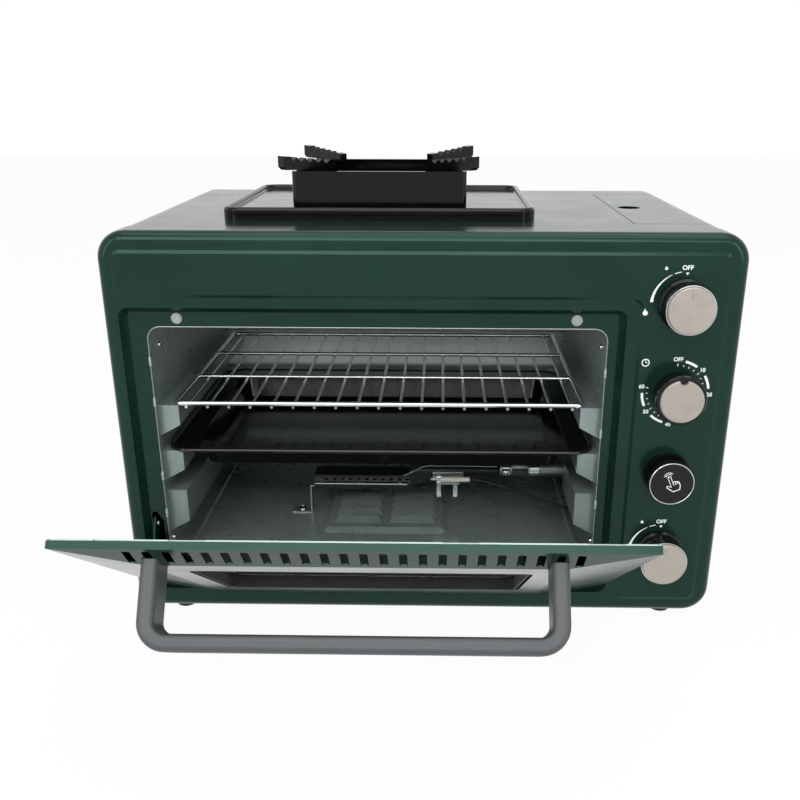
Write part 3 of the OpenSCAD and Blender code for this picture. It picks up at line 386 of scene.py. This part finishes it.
def printed_word(name, text, x, y, size, i):
    """Generic dial marking in the built-in plain typeface, as thick as a layer of ink."""
    word = bpy.data.curves.new(name, "FONT")
    word.body = text
    word.size = size * MM
    word.extrude = INK_FILM / 2 * MM
    word.offset = INK_SPREAD * MM
    word.align_x = "CENTER"
    word.align_y = "CENTER"
    made = bpy.data.objects.new(name, word)
    scene.collection.objects.link(made)
    word.materials.append(INK)
    spot = dial_place(i) @ Vector((x, y, 0))
    made.matrix_world = Matrix.Translation(spot) @ UPRIGHT
    bpy.context.view_layer.update()
    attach(made, "oven")


def gas_dial(name, i):
    """Stop, small-flame and large-flame marks with the tapered sweep between them."""
    bm = bmesh.new()
    pressing(bm, band(r_in=25.2, r_out=27.6, start=176, end=116, taper=0.16), INK_FILM)
    pressing(bm, band(r_in=26.0, r_out=26.7, start=112, end=100, taper=0.8, steps=8), INK_FILM)
    for x, y, share in FLAME_MARKS:
        pressing(bm, [(x + p * share, y + q * share) for p, q in FLAME], INK_FILM)
    stop_pointer = [(-1.4, 25.5), (1.4, 25.5), (0, 23.4)]
    pressing(bm, stop_pointer, INK_FILM)
    piece(bm, name, INK, "oven", dial_place(i))
    printed_word(name + "_off", "OFF", x=0, y=29.2, size=5.0, i=i)


gas_dial("stove_dial_print", STOVE)
gas_dial("oven_dial_print", OVEN)

# Timer scale: a stop mark, six tens clockwise, heavy bars between them and a ring of fine ticks
SCALE_TOP, SCALE_SWEEP, TENS, TICKS = 90, 280, 6, 24      # start and sweep in degrees, then the divisions
TEN_STEP = SCALE_SWEEP / TENS
BAR_CLEAR, STOP_CLEAR = 11, 13                # degrees left free beside a number, and beside the stop mark
BAR_R = (26.2, 28.2)
TICK_R, TICK_END, TEN_TICK_END, TICK_HALF = 22.6, 24.0, 24.8, 0.7
NUMBER_R = 28.4
bm = bmesh.new()
for k in range(TENS):
    a = SCALE_TOP - TEN_STEP * k - (STOP_CLEAR if k == 0 else BAR_CLEAR)
    b = SCALE_TOP - TEN_STEP * (k + 1) + BAR_CLEAR
    pressing(bm, band(*BAR_R, a, b, steps=14), INK_FILM)
for k in range(TICKS + 1):
    a = SCALE_TOP - SCALE_SWEEP * k / TICKS
    tip = TICK_END if k % (TICKS // TENS) else TEN_TICK_END
    pressing(bm, band(TICK_R, tip, a - TICK_HALF, a + TICK_HALF, steps=2), INK_FILM)
# Small clock face beside the scale: its ring and two hands
clock = Matrix.Translation((-26.5, 25.5, 0))
pressing(bm, band(r_in=2.5, r_out=3.3, start=0, end=359.9, steps=40), INK_FILM, clock)
pressing(bm, [(-0.3, 0), (0.3, 0), (0.3, 2.0), (-0.3, 2.0)], INK_FILM, clock)
pressing(bm, [(0, -0.3), (1.5, -0.3), (1.5, 0.3), (0, 0.3)], INK_FILM, clock)
piece(bm, "timer_dial_print", INK, "oven", dial_place(TIMER))
for k in range(TENS + 1):
    a = math.radians(SCALE_TOP - TEN_STEP * k)
    printed_word(f"timer_mark_{k}", "OFF" if k == 0 else str(10 * k), x=NUMBER_R * math.cos(a),
                 y=NUMBER_R * math.sin(a), size=4.6, i=TIMER)

# Push symbol on the safety button: a plain hand with one finger out, and press waves over its tip
BUTTON_FACE_Y = -21.56
HAND = [(-1.3, 7.4), (0.0, 8.2), (1.3, 7.4), (1.3, 1.2), (2.5, 1.8), (3.5, 0.9), (4.6, 1.2), (5.3, 0.2),
        (6.2, 0.2), (6.7, -0.9), (6.5, -4.2), (4.9, -7.6), (-1.2, -7.6), (-3.2, -4.8), (-5.4, -1.6),
        (-5.0, -0.6), (-3.6, -0.7), (-1.3, -2.6)]
HAND_SHARE, HAND_TILT = 0.92, math.radians(24)
OUTLINE_R, FINGER_R = 0.42, 0.34              # line weights of the drawing
FINGER_FOLDS = (1.3, 3.4, 5.2)
WAVE_FILM, FINGERTIP_Y = 0.05, 6.6
sign = (Matrix.Translation((DIAL_X, BUTTON_FACE_Y, DIAL_Z[BUTTON])) @ UPRIGHT
        @ Matrix.Rotation(HAND_TILT, 4, "Z"))
round_wire("button_hand_sign", [(x * HAND_SHARE, y * HAND_SHARE, 0) for x, y in HAND], OUTLINE_R, INK,
           "flame_button", True, PANEL @ sign, False)
for k, x in enumerate(FINGER_FOLDS):
    fold = [(x * HAND_SHARE, 1.0 - 0.4 * k, 0), (x * HAND_SHARE, -1.7, 0)]
    round_wire(f"button_hand_finger_{k}", fold, FINGER_R, INK, "flame_button", False,
               PANEL @ sign, False)
bm = bmesh.new()
waves = sign @ Matrix.Translation((0, FINGERTIP_Y, WAVE_FILM))
pressing(bm, band(r_in=2.5, r_out=3.0, start=25, end=155, steps=16), WAVE_FILM, waves)
pressing(bm, band(r_in=4.0, r_out=4.5, start=30, end=150, steps=16), WAVE_FILM, waves)
piece(bm, "button_press_waves", INK, "flame_button")

# ---- Rims of the controls: bright on the gas knobs and the button, black on the timer ----
RIM_SECTION = [(-0.42, -0.5), (-0.42, 0.12), (-0.2, 0.32), (0.2, 0.32), (0.42, 0.12), (0.42, -0.5),
               (-0.42, -0.5)]
for name, i, body, r, out, look in (("stove_knob_rim", STOVE, "stove_control", 19.35, 23.9, CHROME),
                                    ("oven_knob_rim", OVEN, "oven_control", 19.35, 23.9, CHROME),
                                    ("timer_knob_rim", TIMER, "timer_control", 19.9, 22.9, KNOB),
                                    ("button_rim", BUTTON, "flame_button", 18.3, 21.3, CHROME)):
    bm = bmesh.new()
    turn(bm, [(r + across, up) for across, up in RIM_SECTION], 72)
    piece(bm, name, look, body, PANEL @ Matrix.Translation((DIAL_X, -out, DIAL_Z[i])) @ UPRIGHT)

# ---- Cavity fittings ----
# Spring clips that hold the cavity to the front flange, seen as small bright tabs on its rim
CLIP_INSET = 1.2
CLIPS = [(CAVITY_X0 + CLIP_INSET, z) for z in (232, 196, 128, 92)]
CLIPS += [(CAVITY_X1 - CLIP_INSET, z) for z in (170, 104, 224)]
for k, (x, z) in enumerate(CLIPS):
    bm = bmesh.new()
    pressing(bm, rounded(w=2.2, h=8.5, r=0.8, steps=3), 1.1, UPRIGHT, edge=0.3)
    turn(bm, [(0, 0), (0.9, 0), (0.9, 1.3), (0.5, 1.6), (0, 1.6)], 12, UPRIGHT)
    piece(bm, f"cavity_clip_{k}", ZINC, "oven", PANEL @ Matrix.Translation((x, FLANGE_Y, z)))
# Rolled edge of the cavity mouth, a thin bright line all round
MOUTH_X0, MOUTH_X1, MOUTH_Z0, MOUTH_Z1 = CAVITY_X0 + 1, CAVITY_X1 - 1, CAVITY_Z0 + 3, CAVITY_Z1 - 0.5
mouth = [(x + (MOUTH_X0 + MOUTH_X1) / 2, FLANGE_Y + 0.1, z + (MOUTH_Z0 + MOUTH_Z1) / 2)
         for x, z in rounded(MOUTH_X1 - MOUTH_X0, MOUTH_Z1 - MOUTH_Z0, 11, 8)]
round_wire("cavity_mouth_edge", mouth, 0.55, ZINC, "oven", True, smooth=False)
# Screws through the side walls: two high up and one low down on each
LEFT_WALL, RIGHT_WALL = (CAVITY_X0, 1), (CAVITY_X1, -1)       # x, and the way its screws face
WALL_SCREWS = [(*wall, y, 238) for wall in (LEFT_WALL, RIGHT_WALL) for y in (40, 250)]
WALL_SCREWS += [(*wall, 24, 60) for wall in (LEFT_WALL, RIGHT_WALL)]
for k, (x, side, y, z) in enumerate(WALL_SCREWS):
    screw_head(f"wall_screw_{k}", Matrix.Translation((x, y, z)) @ Matrix.Rotation(side * QUARTER, 4, "Y"),
               "oven", d=6.0)

# Spot-weld dimples along the floor's front edge
WELDS, WELD_INSET, WELD_PITCH, WELD_Y = 9, 42, 37, 16
WELD_RING = [(1.0, 0), (1.5, 0.15), (2.1, 0.28), (2.6, 0.12), (2.8, 0)]
bm = bmesh.new()
for k in range(WELDS):
    turn(bm, WELD_RING, 20,
         Matrix.Translation((CAVITY_X0 + WELD_INSET + WELD_PITCH * k, WELD_Y, CAVITY_Z0)))
piece(bm, "floor_spot_welds", ALUMINISED, "oven")

# ---- Burner fittings ----
# Rolled edge where the two pressed halves meet: a real bead, drawn in bright zinc on the dark burner as a
# painted highlight line
SEAM_HALF, SEAM_Z, SEAM_R = 18, BURNER_Z + 6.5, 0.95
for k, side in enumerate((-1, 1)):
    seam_y = BURNER_Y + side * SEAM_HALF
    round_wire(f"burner_seam_highlight_{k}", [(BURNER_X0 + 1, seam_y, SEAM_Z), (BURNER_STEP - 3, seam_y, SEAM_Z)],
               SEAM_R, ZINC, "oven", smooth=False)
# Edge of the upper pressing, up its step and along the neck, also in bright zinc as a painted highlight: x
# from the step, y and z from the burner
SHOULDER = [(-6, -11.5, 13), (6, -11.6, 19), (13, -11.4, 22.6), (30, -10.5, 22.9),
            (BURNER_X1 - 3 - BURNER_STEP, -10.5, 22.9)]
round_wire("burner_shoulder_highlight", [(BURNER_STEP + x, BURNER_Y + y, BURNER_Z + z) for x, y, z in SHOULDER], 0.6,
           ZINC, "oven")


def sleeve(bm, x, lip_r, r, length, ease=0.4):
    """A ring round the mixing tube from x onwards, with its two outer edges eased from r to lip_r."""
    along = Matrix.Translation((x, BURNER_Y, TUBE_Z)) @ Matrix.Rotation(QUARTER, 4, "Y")
    turn(bm, [(TUBE_R, 0), (lip_r, 0), (r, ease), (r, length - ease), (lip_r, length), (TUBE_R, length),
              (TUBE_R, 0)], 48, along)


# Worm band that closes the burner on the mixing tube, with its screw housing at the front
HOUSING_X, HOUSING_Y, HOUSING_DEEP = BURNER_X1 + 6.4, BURNER_Y - 8.2, 4
bm = bmesh.new()
sleeve(bm, BURNER_X1 + 3, lip_r=8.3, r=8.5, length=6.8)
pressing(bm, rounded(w=8, h=5, r=1.2, steps=3), HOUSING_DEEP,
         Matrix.Translation((HOUSING_X, HOUSING_Y, TUBE_Z)) @ UPRIGHT, edge=0.5)
piece(bm, "mixing_tube_band", CHROME, "oven")
screw_head("mixing_tube_band_screw",
           Matrix.Translation((HOUSING_X, HOUSING_Y - HOUSING_DEEP, TUBE_Z)) @ UPRIGHT, "oven", d=4.4)
# Air shutter sleeve on the mixing tube
bm = bmesh.new()
sleeve(bm, BURNER_X1 + 29, lip_r=8.0, r=8.4, length=10)
piece(bm, "air_shutter", CHROME, "oven")
# Rivets through the burner's seam
RIVET_HALF, RIVET_Z = 16.2, BURNER_Z + 7.2
BURNER_RIVET = [(0, 1.1), (1.0, 1.0), (1.8, 0.5), (2.1, 0)]
bm = bmesh.new()
for x in (BURNER_X0 + 6, BURNER_X0 + 45, BURNER_STEP - 10):
    for side in (-1, 1):
        turn(bm, BURNER_RIVET, 20, Matrix.Translation((x, BURNER_Y + side * RIVET_HALF, RIVET_Z)))
piece(bm, "burner_rivets", ZINC, "oven")

# Igniter lead: one smooth line from the electrode to the wall and on to the valve
LEAD_R = 1.5
electrode = Vector((BURNER_STEP + 36 + 23.5, BURNER_Y - 19.5, BURNER_Z + 12.7))
wall = Vector((CAVITY_X1 + 6, 84, 62))
valve = Vector((DIAL_X - 15.6, 20, DIAL_Z[OVEN]))


def pulled(p, q, r, s, n):
    """n + 1 points of the smooth line from p to s that leaves towards q and arrives from r."""
    return [(1 - t) ** 3 * p + 3 * (1 - t) ** 2 * t * q + 3 * (1 - t) * t * t * r + t ** 3 * s
            for t in (i / n for i in range(n + 1))]


route = pulled(electrode, electrode + Vector((30, 0, 0)), wall - Vector((40, 0, 0)), wall, 12)
route += pulled(wall, wall + Vector((24, 0, 0)), valve - Vector((16, 0, 0)), valve, 10)[1:]
route_m = [PANEL @ p for p in route]
lead_curve = bpy.data.curves.new("igniter_lead_line", "CURVE")
lead_curve.dimensions = "3D"
lead_curve.bevel_depth = LEAD_R * MM
lead_curve.bevel_resolution = 4
lead_line = lead_curve.splines.new("POLY")
lead_line.points.add(len(route_m) - 1)
for spot, p in zip(lead_line.points, route_m):
    spot.co = (*p, 1)
lead_curve.use_fill_caps = True
lead = show("igniter_lead_line", lead_curve, LEAD, "oven")
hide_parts("igniter_lead")


# ---- Door details, in the door's own space ----
def frame_strip(name, outer, inner, y0, y1, look):
    """A closed frame between two rounded rectangles (w, h, r), from depth y0 to y1 of the door."""
    mid_z = (GLASS_Z0 + GLASS_Z1) / 2
    bm = bmesh.new()
    loops = [[bm.verts.new((x, y, z + mid_z)) for x, z in rounded(*size)]
             for size, y in ((outer, y0), (inner, y0), (inner, y1), (outer, y1))]
    for one, two in zip(loops, loops[1:] + loops[:1]):
        for i in range(len(one)):
            j = (i + 1) % len(one)
            bm.faces.new((one[i], one[j], two[j], two[i]))
    piece(bm, name, look, "door", DOOR)


# Fired black border round the pane, on its outer face
frame_strip("glass_border", (241.4, 131.4, 7.6), (222, 112, 5), -0.64, -0.52, FRIT)
# Black rubber that fills the step between the pane and the outer skin, drawn as a glazing gasket: painted
# shade for the dark wall of the window's recess
frame_strip("window_recess_shade_gasket", (241.5, 131.5, 7.7), (237.6, 127.6, 5.8), -9.9, -0.7, RUBBER)
# Crimp lines pressed into the door's inner face, from the window's upper corners outwards
for k, side in enumerate((-1, 1)):
    crease = [(side * 128, DOOR_INNER_Y, GLASS_Z1 + 5), (side * 160, DOOR_INNER_Y, GLASS_Z1 + 26)]
    round_wire(f"door_crease_{k}", crease, 0.6, ALUMINISED, "door", matrix=DOOR, smooth=False)
# Screws that hold the inner frame to the shell
for k, (x, z) in enumerate(((-180, 60), (180, 60), (-180, 200), (180, 200), (0, 222), (0, 30))):
    screw_head(f"door_screw_{k}", Matrix.Translation((x, DOOR_INNER_Y, z)) @ Matrix.Rotation(-QUARTER, 4, "X"),
               "door", DOOR, 6.0)
# Rivet of the stay
screw_head("stay_rivet", Matrix.Translation((-DOOR_W / 2 + 3, 49, 22)) @ Matrix.Rotation(QUARTER, 4, "Y"),
           "door", DOOR, 5.0, ZINC)

# ---- Outside fixings ----
CASING_SCREWS = [(side, y) for side in (-1, 1) for y in (60, 300)] + [(side, 180) for side in (-1, 1)]
for k, (side, y) in enumerate(CASING_SCREWS):
    seat = Matrix.Translation((side * CASING_SIDE_X, y, 34)) @ Matrix.Rotation(side * QUARTER, 4, "Y")
    screw_head(f"casing_screw_{k}", seat, "oven", d=2.8)

# Rivets of the hob strap, which show inside the drip dish
STRAP_HALF, STRAP_RISE = 58, 2.0
STRAP_RIVET = [(0, 1.6), (1.6, 1.45), (2.8, 0.8), (3.2, 0)]
bm = bmesh.new()
for side in (-1, 1):
    turn(bm, STRAP_RIVET, 24, Matrix.Translation((HOB_X + side * STRAP_HALF, HOB_Y, TOP_Z + STRAP_RISE)))
piece(bm, "hob_strap_rivets", ZINC, "oven")

# ---- Studio, in metres ----
FLOOR_GLOW = 0.95             # share of the floor that shows as plain white to direct_view
SKY_FILL, SKY_SEEN = 0.45, 1.0
FLOOR_HALF = 6


def direct_view(tree):
    """1 for what the camera sees, straight or in gloss or through glass, and 0 for other rays."""
    ray = add(tree, "ShaderNodeLightPath")
    seen = add(tree, "ShaderNodeMath", {0: ray.outputs["Is Camera Ray"], 1: ray.outputs["Is Glossy Ray"]},
               operation="ADD")
    seen = add(tree, "ShaderNodeMath", {0: seen.outputs[0], 1: ray.outputs["Is Transmission Ray"]},
               operation="ADD", use_clamp=True)
    return seen.outputs[0]


def backdrop_material():
    """Pale floor: white as the camera sees it, with the object's own soft shadow kept."""
    m, t, where = bare_material("pale_studio_floor")
    fleck = add(t, "ShaderNodeTexNoise", {"Vector": where, "Scale": per(400), "Detail": 1.0})
    shade = add(t, "ShaderNodeMix", {0: fleck.outputs["Fac"], 6: tint("#efefef"), 7: tint("#f6f6f6")},
                data_type="RGBA")
    matt = add(t, "ShaderNodeBsdfDiffuse", {"Color": shade.outputs[2]})
    glow = add(t, "ShaderNodeEmission", {"Color": (1, 1, 1, 1), "Strength": 1.0})
    share = add(t, "ShaderNodeMath", {0: direct_view(t), 1: FLOOR_GLOW}, operation="MULTIPLY")
    blend = add(t, "ShaderNodeMixShader", {0: share.outputs[0], 1: matt.outputs[0], 2: glow.outputs[0]})
    add(t, "ShaderNodeOutputMaterial", {"Surface": blend.outputs[0]})
    return m


bm = bmesh.new()
bmesh.ops.create_grid(bm, x_segments=8, y_segments=8, size=FLOOR_HALF)
floor_mesh = bpy.data.meshes.new("studio_floor")
bm.to_mesh(floor_mesh)
bm.free()
floor = bpy.data.objects.new("studio_floor", floor_mesh)
floor_mesh.materials.append(backdrop_material())
scene.collection.objects.link(floor)

world = bpy.data.worlds.new("studio")
scene.world = world
world.use_nodes = True
sky = world.node_tree
sky.nodes.clear()
level = add(sky, "ShaderNodeMapRange", {"Value": direct_view(sky), "To Min": SKY_FILL, "To Max": SKY_SEEN})
light = add(sky, "ShaderNodeBackground", {"Color": (1, 1, 1, 1), "Strength": level.outputs["Result"]})
add(sky, "ShaderNodeOutputWorld", {"Surface": light.outputs[0]})


def softbox(name, spot, aim, size, power, mirrored=True):
    """Large soft area lamp; mirrored says whether gloss shows it."""
    lamp = bpy.data.lights.new(name, "AREA")
    lamp.shape = "RECTANGLE"
    lamp.size, lamp.size_y = size
    lamp.energy = power
    made = bpy.data.objects.new(name, lamp)
    made.location = spot
    made.visible_glossy = mirrored
    made.rotation_mode = "QUATERNION"
    made.rotation_quaternion = (Vector(aim) - Vector(spot)).to_track_quat("-Z", "Y")
    scene.collection.objects.link(made)


softbox("front_softbox", (-0.3, -1.6, 1.65), (0, -0.1, 0.15), (2.0, 0.7), power=15)
softbox("strip_lamp", (0.0, -1.75, 1.25), (0, 0, 0.3), (2.4, 0.1), power=7)
softbox("overhead_softbox", (0.1, -0.2, 1.9), (0, 0, 0.2), (1.8, 1.6), power=16)
softbox("right_softbox", (1.6, -1.5, 0.8), (0, 0, 0.2), (0.5, 1.4), power=7)
softbox("left_softbox", (-1.7, -1.4, 0.8), (0, 0, 0.2), (0.5, 1.4), power=6)
softbox("cavity_softbox", (-0.2, -2.1, 0.42), (0, 0.2, 0.2), (1.2, 0.35), power=19, mirrored=False)

# Camera in front of the oven and a little above it, looking down
CAMERA_SPOT = (0.015319, -0.77698, 0.45267)
YAW, PITCH, ROLL = math.radians(-0.9), math.radians(21.21), math.radians(-0.12)
lens = bpy.data.cameras.new("camera")
lens.lens = 41.07
lens.sensor_width = 36
lens.shift_x, lens.shift_y = -0.0326, 0.0538
lens.clip_start, lens.clip_end = 0.05, 50
camera = bpy.data.objects.new("camera", lens)
ahead = Vector((math.sin(YAW) * math.cos(PITCH), math.cos(YAW) * math.cos(PITCH), -math.sin(PITCH)))
right = Vector((math.cos(YAW), -math.sin(YAW), 0))
up = right.cross(ahead)
turned = Matrix.Rotation(ROLL, 3, ahead)
right, up = turned @ right, turned @ up
camera.matrix_world = Matrix([(right[k], up[k], -ahead[k], CAMERA_SPOT[k]) for k in range(3)] + [(0, 0, 0, 1)])
scene.collection.objects.link(camera)
scene.camera = camera
scene.view_settings.view_transform = "Standard"

bpy.context.view_layer.update()
